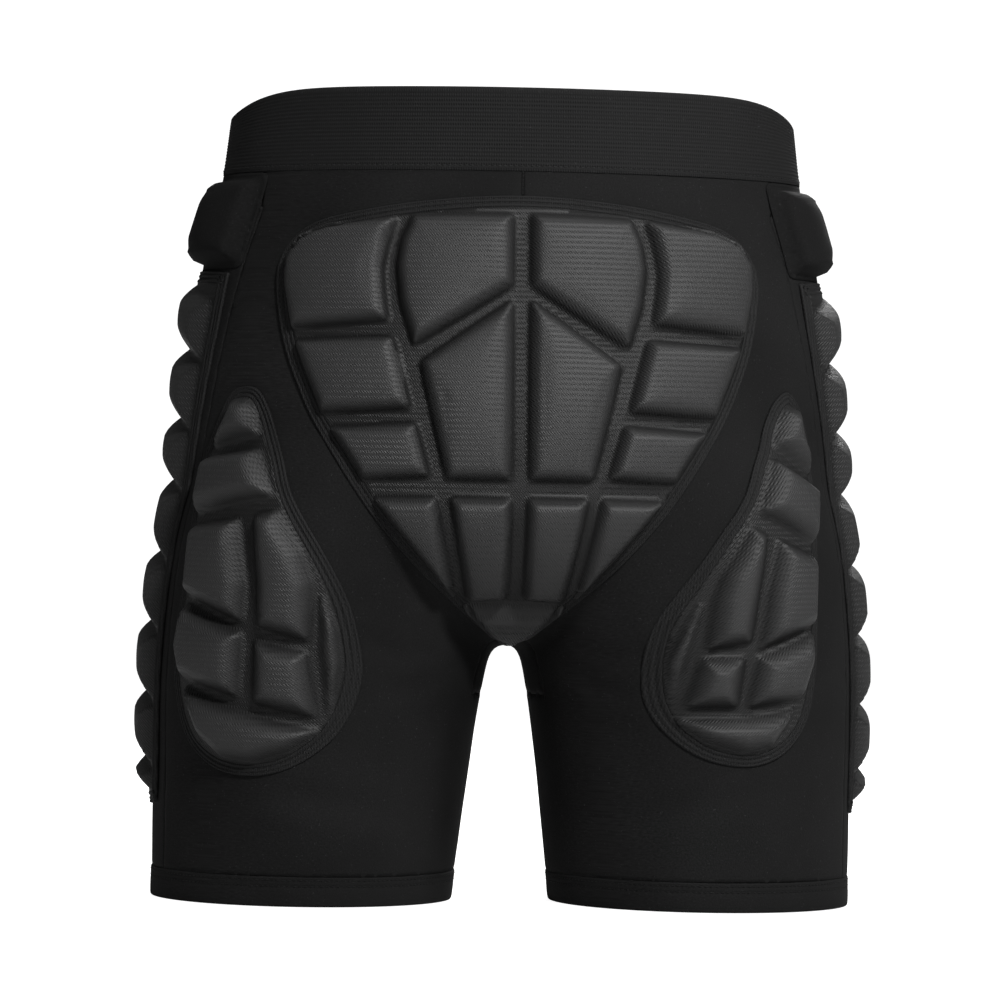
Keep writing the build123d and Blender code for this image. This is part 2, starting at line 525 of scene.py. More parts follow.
def pad_sheet(name, lay, edge, cells, rise, floor, slope, spacing, crown=1.2, side=1, lean=0.0):
    """A moulded pad laid on the body: top, rim and underside, with its flat map as UV."""
    spots, faces, marks = net_of(edge, cells, spacing, slope)
    heights = []
    foot, head = min(s.y for s in spots), max(s.y for s in spots)
    for spot, (home, depth) in zip(spots, marks):
        thinner = 1 - lean * (spot.y - foot) / (head - foot)
        top = (rise * wall(depth, slope) + crown * (1 - math.exp(-depth / CROWN_REACH))) * thinner
        heights.append(floor + (top if home >= 0 else 0))
    flat = add_mesh(name, [(s.x * MM, s.y * MM, h * MM) for s, h in zip(spots, heights)], faces)
    puff(flat, [home >= 0 and depth > 1 for home, depth in marks])
    top = [lay.place(v.co.x / MM, v.co.y / MM, v.co.z / MM) for v in flat.data.vertices]
    under_spots, under_faces, _ = net_of(edge, [], UNDER_SPACING, slope)
    under = [lay.place(s.x, s.y, UNDER_GAP) for s in under_spots]
    count = len(top)
    rims = rim_between(spots, under_spots, edge, count)
    points = top + under
    all_faces = [tuple(f) for f in faces]
    all_faces += [tuple(count + i for i in reversed(f)) for f in under_faces]
    all_faces += rims
    flats = [(s.x, s.y) for s in spots] + [(s.x, s.y) for s in under_spots]
    lifts = [h - floor for h in heights] + [0.0] * len(under)
    bpy.data.objects.remove(flat)
    if side < 0:
        points, all_faces = other_side(points, all_faces)
    pad = add_mesh(name, points, all_faces)
    store_flat(pad, flats, lifts, rise)
    face_out(pad)
    smooth(pad)
    return pad


print("a wall is", round(wall(2, 5.6), 2), "of its height, 2 mm in from its foot")


# %% [markdown]
# ## Soft foam
# Foam presses its cover out a little between the seams. Cloth with pressure does that on the flat
# net: the valleys are pinned, the cells are free, and the growth is capped, so it stays a pad.

# %% Puff the cells with Cloth
PUFF_FRAMES = 12
PUFF_CAP = 1.6


def puff(flat, loose):
    """Blow the loose points up with Cloth, as the foam fills its cover, and cap how far they go."""
    start = [v.co.copy() for v in flat.data.vertices]
    pins = flat.vertex_groups.new(name="sewn")
    pins.add([i for i, free in enumerate(loose) if not free], 1.0, "REPLACE")
    cloth = flat.modifiers.new("Cloth", "CLOTH")
    cloth.settings.vertex_group_mass = "sewn"
    cloth.settings.use_pressure = True
    cloth.settings.uniform_pressure_force = 4
    cloth.settings.quality = 4
    cloth.settings.effector_weights.gravity = 0
    cloth.settings.tension_stiffness = 12
    cloth.settings.compression_stiffness = 12
    cloth.settings.bending_stiffness = 0.4
    cloth.collision_settings.use_collision = False
    scene = bpy.context.scene
    for number in range(1, PUFF_FRAMES + 1):
        scene.frame_set(number)
    shaped = flat.evaluated_get(bpy.context.evaluated_depsgraph_get())
    moved = [v.co.copy() for v in shaped.data.vertices]
    flat.modifiers.remove(cloth)
    scene.frame_set(1)
    grown = 0.0
    for vertex, old, new in zip(flat.data.vertices, start, moved):
        push = new - old
        if push.length > PUFF_CAP * MM:
            push = push.normalized() * PUFF_CAP * MM
        push.z = max(push.z, 0)
        vertex.co = old + push
        grown = max(grown, push.length)
    print(flat.name, "grew by up to", round(grown / MM, 2), "mm")


print("puffing is", "on", "with a cap of", PUFF_CAP, "mm")


# %% [markdown]
# ## Edge bands and stitches
# A band of knit is sewn down all round each pad with two rows of stitches, so it shows three
# soft ridges. It is swept along the outline as one strip. Each stitch is a small grain of thread.

# %% Sweep a band along an outline
BAND_PROFILE = [
    (0.0, 0.1), (0.05, 1.0), (0.5, 1.65), (1.1, 1.6), (1.55, 1.05), (2.0, 1.6), (2.6, 1.85),
    (3.2, 1.65), (3.65, 1.1), (4.1, 1.65), (4.7, 2.1), (5.4, 2.3), (5.9, 1.9), (6.0, 0.1),
]


def edge_band(name, lay, edge, side=1):
    """The sewn band, from the outline inwards."""
    ways = inward(edge)
    points, flats = [], []
    for spot, way in zip(edge, ways):
        for depth, height in BAND_PROFILE:
            place = spot + way * depth
            points.append(lay.place(place.x, place.y, height))
            flats.append((place.x, place.y))
    faces = strip_faces(len(edge), len(BAND_PROFILE))
    if side < 0:
        points, faces = other_side(points, faces)
    band = add_mesh(name, points, faces)
    store_flat(band, flats, [0.0] * len(points), 1)
    face_out(band)
    smooth(band)
    return band


print("the band's profile has", len(BAND_PROFILE), "points")


# %% [markdown]
# ## Stitches
# A stitch could be a bump in the material, but then it would be missing from the mesh. One grain of
# thread is a small six-sided barrel with pinched ends, and it is repeated along a row.

# %% Place a grain of thread for each stitch
THREAD_SIDES = 6
THREAD_RINGS = ((-0.5, 0.35, -0.1), (-0.25, 1.0, 0.5), (0.25, 1.0, 0.5), (0.5, 0.35, -0.1))
STITCH_GROOVES = ((1.55, 1.05), (3.65, 1.1))


def stitch_row(name, places, normals, length=2.0, radius=0.26):
    """One grain of thread at each place, lying along the row."""
    points, faces = [], []
    count = len(places)
    sides = THREAD_SIDES
    for i in range(count):
        along = (places[(i + 1) % count] - places[i - 1]).normalized()
        up = normals[i]
        across = along.cross(up).normalized()
        first = len(points)
        for share, size, lift in THREAD_RINGS:
            middle = places[i] + along * (share * length * MM) + up * (lift * radius * MM)
            for k in range(sides):
                angle = 2 * math.pi * k / sides
                way = across * math.cos(angle) + up * math.sin(angle)
                points.append(middle + way * (radius * size * MM))
        for r in range(3):
            for k in range(sides):
                m = (k + 1) % sides
                faces.append((first + r * sides + k, first + r * sides + m,
                              first + (r + 1) * sides + m, first + (r + 1) * sides + k))
        faces.append(tuple(first + k for k in reversed(range(sides))))
        faces.append(tuple(first + 3 * sides + k for k in range(sides)))
    row = add_mesh(name, points, faces)
    face_out(row)
    smooth(row)
    return row


def pad_stitches(name, lay, edge, side=1, pitch=2.7):
    """The two rows of stitches in the band's grooves."""
    rows = []
    for depth, height in STITCH_GROOVES:
        loop = even_loop(inset_loop(edge, depth), pitch)
        places, normals = [], []
        for spot in loop:
            low = lay.place(spot.x, spot.y, height)
            high = lay.place(spot.x, spot.y, height + 1)
            if side < 0:
                low.x, high.x = -low.x, -high.x
            places.append(low)
            normals.append((high - low).normalized())
        rows.append(stitch_row(name, places, normals))
    only(*rows)
    bpy.ops.object.join()
    return bpy.context.object


print("each pad gets", len(STITCH_GROOVES), "rows of stitches")


# %% [markdown]
# ## The tailbone pad
# The largest pad covers the seat. Its outline is a rounded trapezium at the top that narrows to a
# small tail between the legs. Fifteen cells fan out from the middle, so the pad can fold round the
# seat along the valleys.

# %% Outlines of the tailbone pad
SEAT_EDGE = [
    (0, 360), (46.5, 357), (83.5, 351), (105, 344.5), (117.5, 332.5), (122, 316),
    (118, 285), (107.5, 255), (95, 231), (76, 202), (54.5, 177), (36, 159.5),
    (21.5, 147), (8.5, 137.5), (0, 133),
]
SEAT_CELLS = [
    [(61.5, 348), (95.5, 344), (110, 338.5), (116.5, 326.5), (116.5, 313), (112.5, 291.5), (65.5, 295.5),
     (67.5, 309), (68.5, 321.5), (66, 335)],
    [(4.5, 350), (54, 348.5), (59.5, 336), (61.5, 322.5), (59.5, 304.5), (53, 283), (4.5, 314)],
    [(4.5, 306.5), (49.5, 274.5), (36, 217), (4.5, 217)],
    [(63, 287.5), (111, 285), (97.5, 249), (54, 251.5)],
    [(51.5, 244.5), (94, 241.5), (78, 216), (44, 218)],
    [(41, 208), (73, 207.5), (30, 159.5)],
    [(4, 208), (34, 208), (24, 159.5), (4, 160.5)],
]
SEAT_TAIL = [(-26, 155), (26, 155), (11, 141.5), (0, 137), (-11, 141.5)]


print("outline points of half the pad:", len(SEAT_EDGE))

# %% Sew a pad on: the moulded sheet, its band and its stitches
EDGE_STEP = 1.6
BAND_INSET = 5.6
PAD_FLOOR = 2.0
PAD_GRAIN = 1.7


def drawn_cells(shapes, radius=2.2, grow=0.0):
    """Closed loops with rounded corners, each grown a little into the valleys."""
    return [even_loop(inset_loop(round_corners(shape, radius), -grow), PAD_GRAIN) for shape in shapes]


def sewn_pad(kind, tail, lay, edge, cells, rise, slope, crown, side=1):
    """The three pieces of a pad. The rise and crown are heights, the slope is a wall's width."""
    core = even_loop(inset_loop(edge, BAND_INSET), PAD_GRAIN)
    pad = pad_sheet(f"{kind}_pad{tail}", lay, core, cells, rise, PAD_FLOOR, slope, PAD_GRAIN, crown, side)
    band = edge_band(f"{kind}_pad_band{tail}", lay, edge, side)
    return pad, band, pad_stitches(f"{kind}_pad_stitches{tail}", lay, edge, side)


print("the pads' nets are", PAD_GRAIN, "mm fine")

# %% Make the tailbone pad
behind = Lay(0)
seat_shape = SEAT_EDGE + mirrored(SEAT_EDGE[1:-1])
seat_edge = curve_loop(seat_shape, EDGE_STEP)
seat_shapes = [SEAT_TAIL]
for shape in SEAT_CELLS:
    seat_shapes += [shape, mirrored(shape)]
seat_cells = drawn_cells(seat_shapes, grow=1.2)
seat_parts = sewn_pad("seat", "", behind, seat_edge, seat_cells, rise=6.6, slope=5.6, crown=1.6)
print("tailbone pad:", len(seat_cells), "cells,", len(seat_parts[0].data.polygons), "faces")


# %% [markdown]
# ## The thigh pads
# A tear-shaped pad lies on the back and outside of each thigh, turned 40 degrees outwards. Its
# point is at the top. They are sewn on by hand, so the two differ a little, and each has its own
# outline. The right one is drawn as if on the left, and its points are then mirrored.

# %% Outlines of a thigh pad
LEFT_EDGE = [
    (-63, 262), (-54, 261.5), (-46.9, 255.5), (-38.6, 242), (-28.8, 227), (-20.3, 207.5), (-5.9, 181.5),
    (2.5, 159), (5.2, 140), (5, 120.5), (0.5, 101.3), (-8, 84.5), (-22.9, 71.5), (-41.3, 66), (-63.3, 68.5),
    (-82, 80), (-92.5, 98.2), (-97, 121.4), (-95.5, 143), (-90.5, 165), (-88.5, 195), (-87, 224.7),
    (-83, 236), (-76.2, 250.2), (-70, 259),
]
LEFT_CELLS = [
    [(-65.6, 256.5), (-52.5, 255.7), (-44.4, 236.3), (-78, 230.3)],
    [(-81.5, 225.2), (-41.5, 229.9), (-29, 206.3), (-82.5, 197.1)],
    [(-82, 190.7), (-47.9, 195.7), (-42.2, 163), (-44.4, 143.2), (-84.4, 157)],
    [(-39, 197.1), (-26, 200), (-13.5, 179.5), (-9.5, 163.9), (-12.4, 134.4), (-37.1, 141.4), (-36.5, 165)],
    [(-85, 151.7), (-44.5, 138.7), (-47.5, 105.2), (-86, 114.7), (-90.5, 130.7)],
    [(-38.8, 135.5), (-13.9, 129.6), (-12.5, 96.3), (-40.7, 102.9)],
    [(-85, 109.6), (-47, 99), (-11, 90), (-24, 79), (-41, 73), (-60, 75.5), (-74, 86)],
    [(-6.5, 160.1), (-1.5, 142), (-1.5, 124), (-8.4, 92.5), (-8.8, 110), (-9, 132)],
]
RIGHT_EDGE = [
    (-65, 263.5), (-58, 263), (-49.1, 255.4), (-38.9, 238.4), (-30.5, 226.7), (-20.7, 208.7), (-8.4, 190.4),
    (1.2, 172.3), (9.5, 154), (12.2, 139.6), (11.7, 122.7), (8.3, 104.7), (1.5, 90.8), (-9.5, 80),
    (-23.5, 75), (-38.5, 75.5), (-53.5, 83), (-65.2, 98), (-70.2, 122), (-70.8, 150), (-71.2, 182),
    (-75, 212), (-78, 235), (-73, 254),
]
RIGHT_CELLS = [
    [(-67, 257), (-56, 256), (-45, 236), (-72, 221)],
    [(-72, 215), (-41.5, 229.5), (-28, 202.5), (-65.8, 187)],
    [(-65.6, 180.5), (-38.9, 190), (-33.7, 163), (-31.1, 134.5), (-65.2, 147)],
    [(-32.5, 192.5), (-23.2, 196), (-10.2, 172), (-7.5, 160), (-7.3, 133.8), (-27, 137.5), (-29.3, 165)],
    [(-64.2, 143.5), (-30.5, 130.5), (-27.5, 104.5), (-59, 110.5), (-64.8, 128)],
    [(-25, 131.3), (-6.1, 129.6), (-2.7, 104.4), (-23.9, 104.9)],
    [(-55.5, 105), (-27.5, 100), (1.5, 99), (-11.5, 87), (-27.5, 81.5), (-42.5, 85)],
    [(-3.6, 161), (2, 145), (5.5, 127.5), (1.5, 105.8), (-0.5, 118), (-2.5, 140)],
]

print("outline points:", len(LEFT_EDGE), "left and", len(RIGHT_EDGE), "right")

# %% Make both thigh pads
over_thigh = Lay(40)
pads = {}
for word, side, outline, shapes in (("left", 1, LEFT_EDGE, LEFT_CELLS),
                                    ("right", -1, RIGHT_EDGE, RIGHT_CELLS)):
    pads["thigh", word] = sewn_pad("thigh", f"_{word}", over_thigh, curve_loop(outline, EDGE_STEP),
                                   drawn_cells(shapes, grow=0.6), rise=7.5, slope=8.0, crown=2.6, side=side)
print("thigh pads:", len(LEFT_CELLS), "cells each")


# %% [markdown]
# ## The side pads
# A long strip runs down the outside of each thigh, from under the hip pad nearly to the hem. Eight
# round lobes stand on it like the bellows of an accordion, which lets it bend with the leg.

# %% Outline and lobes of a side pad
SIDE_EDGE = [(49, 20), (55, 26), (115, 31), (195, 37), (265, 42), (315, 44), (321, 38)]
LOBE_LEVELS = [55, 75.5, 109, 145, 180.5, 217, 248.5, 283.5, 317]
LOBE_DROP = 9
beside = Lay(90)


def side_width(level):
    return through(SIDE_EDGE, level)[0]


side_shape = [(w, z) for z, w in SIDE_EDGE] + [(0, 322.5)]
side_shape += [(-w, z) for z, w in reversed(SIDE_EDGE)] + [(0, 47)]
side_edge = curve_loop(side_shape, EDGE_STEP)
lobes = []
for low, high in zip(LOBE_LEVELS, LOBE_LEVELS[1:]):
    low, high = low + 1.2, high - 1.2
    wide_low = side_width(max(low - LOBE_DROP, 57)) - 6.5
    wide_high = side_width(high - LOBE_DROP) - 6.5
    drop = LOBE_DROP if low > 65 else 2
    lobes.append([(-wide_low, low - drop), (0, low), (wide_low, low - drop),
                  (wide_high, high - LOBE_DROP), (0, high), (-wide_high, high - LOBE_DROP)])
print("lobes:", len(lobes))

# %% Make both side pads
for word, side in (("left", 1), ("right", -1)):
    pads["side", word] = sewn_pad("side", f"_{word}", beside, side_edge, drawn_cells(lobes, radius=3.0),
                                  rise=7.0, slope=10, crown=1.0, side=side)
print("side pads:", len(lobes), "lobes each")


# %% [markdown]
# ## The hip pads
# Just under the waist a flat piece of foam sits in a pocket of the same jersey. The cloth is
# stretched over it, so the pad shows as a flat block with clear edges.

# %% Make both hip pads
HIP_EDGE = [(-51, 323), (51, 323), (51, 372), (-51, 372)]
HIP_CELL = [(-48, 326), (48, 326), (47, 369), (-47, 369)]
HIP_STEP = 2.2
hip_pads = {}
for word, side in (("left", 1), ("right", -1)):
    edge = even_loop(round_corners(HIP_EDGE, 4), HIP_STEP)
    cell = even_loop(round_corners(HIP_CELL, 3), HIP_STEP)
    hip_pads[word] = pad_sheet(f"hip_pad_{word}", beside, edge, [cell], rise=10.0, floor=0.5, slope=4.5,
                               spacing=HIP_STEP, crown=0.4, side=side, lean=0.35)
print("hip pads:", HIP_CELL[1][0] - HIP_CELL[0][0], "mm long")


# %% [markdown]
# ## The jersey panels
# The shorts are cut from stretch jersey: two back panels, two front panels, a strip down each side
# and a small gusset at the crotch. The skin of the dummy is cut along the seams with bisect and
# each panel becomes its own sheet, which Solidify turns into cloth of a real thickness. Soft
# folds spread from the crotch, where the cloth is pulled between the legs.

# %% Press the folds into the skin
FOLDS = [
    # Centre of the fold, its way across and up, half length, half width and depth in millimetres.
    # Each fold has its mirror image on the other leg.
    ((62, -82, 146), (0.75, 0.6), 34, 5, 1.5), ((58, -86, 130), (0.9, 0.3), 30, 5, 1.3),
    ((44, -78, 114), (0.8, -0.2), 24, 5, 1.0), ((52, 84, 146), (0.7, 0.7), 40, 9, 0.8),
    ((60, 92, 172), (0.6, 0.8), 38, 9, 0.8), ((50, 80, 124), (0.9, 0.1), 30, 9, 0.8),
    ((96, -88, 54), (0.95, 0.2), 40, 7, 0.9), ((100, 88, 66), (0.95, -0.2), 44, 9, 0.8),
]


def fold_depth(point):
    """How far a point of the cloth sinks or rises, in metres."""
    depth = noise.noise(point * 14) * 0.5 + noise.noise(point * 34) * 0.18
    for (x, y, z), (way_x, way_z), length, width, deep in FOLDS:
        for side in (1, -1):
            gap = point / MM - Vector((side * x, y, z))
            along = Vector((side * way_x, 0, way_z)).normalized()
            s = gap.dot(along)
            t = Vector((gap.x, gap.y * 0.4, gap.z)) - along * s
            reach = math.exp(-(s / length) ** 2)
            across = t.length / width
            depth -= deep * reach * (math.exp(-across**2) - 0.45 * math.exp(-((across - 1.9) ** 2)))
    return depth * MM


def bisect(piece, point, normal, **clear):
    only(piece)
    bpy.ops.object.mode_set(mode="EDIT")
    bpy.ops.mesh.select_all(action="SELECT")
    bpy.ops.mesh.bisect(plane_co=point, plane_no=normal, **clear)
    bpy.ops.object.mode_set(mode="OBJECT")


for vertex, normal in zip(body.data.vertices, [v.normal.copy() for v in body.data.vertices]):
    vertex.co += normal * fold_depth(vertex.co)
print("folds pressed in:", 2 * len(FOLDS))

# %% Cut the skin along the seams
SIDE_HALF = 34 * MM
SIDE_SPREAD = 0.0525
bisect(body, (0, 0, HEM_TOP), (0, 0, 1), clear_inner=True)
bisect(body, (0, 0, BAND_BOTTOM + 2 * MM), (0, 0, 1), clear_outer=True)
bisect(body, (0, 0, 0), (1, 0, 0))
bisect(body, (0, -SIDE_HALF, 0), (0, 1, SIDE_SPREAD))
bisect(body, (0, SIDE_HALF, 0), (0, 1, -SIDE_SPREAD))
GUSSET = 20 * MM
GUSSET_DEPTH = 40 * MM
GUSSET_FOOT = 108 * MM
for side in (-1, 1):
    bisect(body, (side * GUSSET, 0, 0), (1, 0, 0))
print("cut skin faces:", len(body.data.polygons))


# %% Say which face belongs to which panel
def in_gusset(c):
    return abs(c.x) < GUSSET and abs(c.y) < GUSSET_DEPTH and GUSSET_FOOT < c.z < 166 * MM


def on_side(c):
    return abs(c.y) < SIDE_HALF + SIDE_SPREAD * c.z and abs(c.x) > 130 * MM


def main_panel(c):
    return not in_gusset(c) and not on_side(c)


PANEL_TESTS = {
    "back": lambda c: main_panel(c) and c.y < 0,
    "front": lambda c: main_panel(c) and c.y >= 0,
    "side": on_side,
}
print("cloth on each half:", ", ".join(PANEL_TESTS))


# %% Take each panel from the skin
def take_panel(name, test):
    """One panel: its faces, a dip along its seams, and its thickness."""
    panel = body.copy()
    panel.data = body.data.copy()
    panel.name = name
    bpy.context.scene.collection.objects.link(panel)
    mesh = bmesh.new()
    mesh.from_mesh(panel.data)
    gone = [f for f in mesh.faces if not test(f.calc_center_median())]
    bmesh.ops.delete(mesh, geom=gone, context="FACES")
    mesh.normal_update()
    for vertex in mesh.verts:
        if vertex.is_boundary:
            vertex.co -= vertex.normal * 0.3 * MM
    area = sum(f.calc_area() for f in mesh.faces)
    mesh.to_mesh(panel.data)
    mesh.free()
    apply_modifier(panel, "SOLIDIFY", thickness=1.3 * MM, offset=-1)
    smooth(panel)
    print(name, "cloth area", round(area, 4), "m2, faces", len(panel.data.polygons))
    return panel, area


panels = {"crotch_gusset": take_panel("crotch_gusset_cloth", in_gusset)}
for word, side in (("left", -1), ("right", 1)):
    for place, test in PANEL_TESTS.items():
        panels[f"{place}_panel_{word}"] = take_panel(f"{place}_cloth_{word}",
                                                     lambda c: test(c) and c.x * side > 0)
bpy.data.objects.remove(body)


# %% [markdown]
# ## The waistband
# The waist is a wide woven elastic with fine ribs that run round it. One profile, drawn from the
# lower edge up over the ribs, over the rolled top and down the inside, is swept round the waist.

# %% Sweep a profile round a ring
def ring_sweep(name, rows, profile, side=1, turns=240, dip=0.0):
    """Offsets from the skin and heights, in millimetres, swept once round, with a dip at the sides."""
    points, flats = [], []
    girth = 0.0
    for step in range(turns):
        angle = 2 * math.pi * step / turns
        low, high = profile[0][1], max(z for _, z in profile)
        sag = dip * abs(math.cos(angle)) ** 10
        for offset, z in profile:
            x, y, a, b = ring_at(rows, z)
            share = (z - low) / (high - low)
            points.append(Vector((side * (x + (a + offset) * math.cos(angle)),
                                  y + (b + offset) * math.sin(angle), z - sag * share**2)) * MM)
            flats.append((girth, z))
        x, y, a, b = ring_at(rows, profile[0][1])
        girth += 2 * math.pi / turns * math.hypot(a * math.sin(angle), b * math.cos(angle))
    piece = add_mesh(name, points, strip_faces(turns, len(profile)))
    store_flat(piece, flats, [0.0] * len(points), 1)
    face_out(piece)
    smooth(piece)
    return piece


print("rings are swept, not lofted")

# %% Draw the ribbed profile and make the waistband
RIB = 2.0
band_low, band_high = BAND_BOTTOM / MM, WAIST_TOP / MM
band_profile = [(-1.4, band_low), (0.3, band_low), (0.75, band_low + 0.4)]
rib_count = int((band_high - band_low - 2) / RIB)
for number in range(rib_count):
    foot = band_low + 0.8 + number * RIB
    band_profile += [(0.55, foot), (0.82, foot + 0.5), (0.9, foot + 1.0), (0.82, foot + 1.5)]
band_profile += [(0.6, band_high - 0.9), (0.1, band_high - 0.25), (-0.5, band_high),
                 (-1.1, band_high - 0.25), (-1.5, band_high - 0.9)]
band_profile += [(-1.5, band_high - 4 - 5 * k) for k in range(8)]
waistband = ring_sweep("waistband_elastic", HIPS, band_profile, turns=300, dip=12.0)
print("waistband ribs:", rib_count, "faces:", len(waistband.data.polygons))


# %% [markdown]
# ## Stitches round a ring
# The waistband and the hems are held by rows of stitches at one height. The ring is drawn finely
# and sampled evenly, so every stitch is the same length.

# %% Stitch round the waist
def ring_stitches(name, rows, z, offset, side=1, pitch=2.8):
    """A row of stitches round a ring, at one height."""
    x, y, a, b = ring_at(rows, z)
    dense = []
    for step in range(720):
        angle = 2 * math.pi * step / 720
        dense.append(Vector(((a + offset) * math.cos(angle), (b + offset) * math.sin(angle))))
    places, normals = [], []
    for spot in even_loop(dense, pitch):
        up = Vector((side * spot.x / a**2, spot.y / b**2, 0)).normalized()
        places.append(Vector((side * (x + spot.x), y + spot.y, z)) * MM)
        normals.append(up)
    return stitch_row(name, places, normals)


waist_stitches = ring_stitches("waist_seam_stitches", HIPS, band_low + 2.6, 0.75)
print("waist seam faces:", len(waist_stitches.data.polygons))


# %% [markdown]
# ## The leg hems
# Each leg ends in a hem that is folded inside and held by a twin needle, whose two rows press two
# shallow lines into the cloth.

# %% Make both hems
HEM_PROFILE = [
    (-1.9, 15.0), (-0.3, 15.2), (0.0, 14.9), (0.2, 14.2), (0.0, 13.4), (0.22, 12.6), (0.25, 11.8),
    (0.22, 11.2), (0.0, 10.4), (0.25, 9.6), (0.35, 7), (0.4, 4), (0.35, 1.6), (0.2, 0.6),
    (-0.2, 0.05), (-0.9, 0.0), (-1.5, 0.3), (-1.9, 1.2), (-1.9, 5), (-1.9, 10),
]
HEM_GROOVES = (10.4, 13.4)
hems = {}
for word, side in (("left", -1), ("right", 1)):
    hem = ring_sweep(f"hem_cloth_{word}", LEG, HEM_PROFILE, side, 200)
    rows = [ring_stitches(f"hem_row_{word}_{z}", LEG, z, 0.0, side) for z in HEM_GROOVES]
    only(*rows)
    bpy.ops.object.join()
    rows[0].name = f"hem_stitches_{word}"
    hems[word] = (hem, rows[0])
    print("hem", word, "faces:", len(hem.data.polygons))


# %% [markdown]
# ## The centre back seam
# Between the waistband and the tailbone pad a short piece of the seam stays in sight. Its stitches
# follow the skin, found by rays.

# %% The short seam at the middle of the back
seam_places, seam_normals = [], []
for step in range(6):
    spot, normal = skin.hit(Vector((0, -0.3, (361.5 + 2.1 * step) * MM)), Vector((0, 1, 0)))
    seam_places.append(spot + normal * 0.1 * MM)
    seam_normals.append(normal)
back_seam = stitch_row("centre_back_stitches", seam_places, seam_normals, length=2.2, radius=0.3)
print("stitches in the back seam:", len(seam_places))


# %% [markdown]
# ## Finishes
# Everything is black, so the materials differ by structure more than by colour. One shader group
# draws a knit or weave, and another gives slow unevenness and lint. Each cloth
# places both groups with its own values.

# %% Node helpers
def node(tree, kind, place, slots=None, **values):
    """Add a node. Each slot takes a value, or a link from another node's output."""
    made = tree.nodes.new(kind)
    made.location = place
    for key, value in values.items():
        setattr(made, key, value)
    for key, value in (slots or {}).items():
        if isinstance(value, bpy.types.NodeSocket):
            tree.links.new(value, made.inputs[key])
        else:
            made.inputs[key].default_value = value
    return made


def maths(tree, operation, place, *terms):
    return node(tree, "ShaderNodeMath", place, dict(enumerate(terms)), operation=operation).outputs[0]


def new_group(name, values, results):
    """An empty shader group with its sockets and its entry."""
    group = bpy.data.node_groups.new(name, "ShaderNodeTree")
    group.interface.new_socket(name="Vector", in_out="INPUT", socket_type="NodeSocketVector")
    for key, value in values.items():
        made = group.interface.new_socket(name=key, in_out="INPUT", socket_type="NodeSocketFloat")
        made.default_value = value
    for key in results:
        group.interface.new_socket(name=key, in_out="OUTPUT", socket_type="NodeSocketFloat")
    return group, node(group, "NodeGroupInput", (-1200, 0)).outputs


print("node helpers are ready")


# %% [markdown]
# ## Threads
# Two sine waves that cross make a knit. Pitch is the threads in a metre, and Slant leans them. Fuzz
# adds a fine random grain, which is all that plain jersey shows.

# %% The shared group that draws threads
threads, entry = new_group("Cloth Threads", {"Pitch": 1200.0, "Slant": 0.0, "Fuzz": 0.0}, ("Height", "Shade"))
parts = node(threads, "ShaderNodeSeparateXYZ", (-1000, 0), {0: entry["Vector"]}).outputs
slid = maths(threads, "MULTIPLY", (-800, -160), parts[1], entry["Slant"])
across = maths(threads, "ADD", (-640, 0), parts[0], slid)
across = maths(threads, "MULTIPLY", (-480, 0), across, entry["Pitch"])
across = maths(threads, "MULTIPLY", (-320, 0), across, math.tau)
upward = maths(threads, "MULTIPLY", (-480, -200), parts[1], entry["Pitch"])
upward = maths(threads, "MULTIPLY", (-320, -200), upward, math.tau)
wale = maths(threads, "SINE", (-160, 0), across)
half_rows = maths(threads, "MULTIPLY", (-160, -200), upward, 0.5)
weft = maths(threads, "SINE", (0, -200), half_rows)
crossing = maths(threads, "MULTIPLY", (160, -100), wale, weft)
mix = maths(threads, "ADD", (320, 0), wale, crossing)
fuzz = node(threads, "ShaderNodeTexNoise", (160, -340),
            {"Vector": entry["Vector"], "Scale": 1100.0, "Detail": 2.0})
loose = maths(threads, "SUBTRACT", (320, -340), fuzz.outputs["Fac"], 0.5)
loose = maths(threads, "MULTIPLY", (400, -340), loose, entry["Fuzz"])
height = maths(threads, "MULTIPLY", (440, 0), mix, 0.5)
height = maths(threads, "ADD", (480, -160), height, loose)
shade = maths(threads, "MULTIPLY_ADD", (640, -100), height, 0.5, 0.5)
node(threads, "NodeGroupOutput", (900, 0), {"Height": height, "Shade": shade})
print("thread group nodes:", len(threads.nodes))


# %% [markdown]
# ## Lint and wear
# Black cloth is never quite even. A slow noise varies the dye, and thin cell edges, kept in a few
# places only, become the pale fibres that cling to it.

# %% The shared group for unevenness and lint
wear_group, entry = new_group("Lint and Wear", {"Spread": 14.0}, ("Uneven", "Lint"))
slow = node(wear_group, "ShaderNodeTexNoise", (-600, 160),
            {"Vector": entry["Vector"], "Scale": entry["Spread"], "Detail": 4.0})
fibre = node(wear_group, "ShaderNodeTexVoronoi", (-600, -160), {"Vector": entry["Vector"], "Scale": 420.0},
             feature="DISTANCE_TO_EDGE")
patch = node(wear_group, "ShaderNodeTexNoise", (-600, -420),
             {"Vector": entry["Vector"], "Scale": 900.0, "Detail": 2.0})
near = maths(wear_group, "LESS_THAN", (-300, -160), fibre.outputs["Distance"], 0.02)
rare = maths(wear_group, "GREATER_THAN", (-300, -420), patch.outputs["Fac"], 0.66)
lint = maths(wear_group, "MULTIPLY", (100, -260), near, rare)
node(wear_group, "NodeGroupOutput", (700, 0), {"Uneven": slow.outputs["Fac"], "Lint": lint})
print("lint group nodes:", len(wear_group.nodes))


# %% [markdown]
# ## One recipe for every cloth
# A cloth material mixes a dark and a lighter tone of its dye by the unevenness and by the threads,
# adds a little lint, and drives one bump from the threads. Pads read their flat map, so the knit
# follows the moulding; the jersey reads its place in space.

# %% Where the grain is read, and the recipe
DUST = (0.035, 0.035, 0.036, 1)


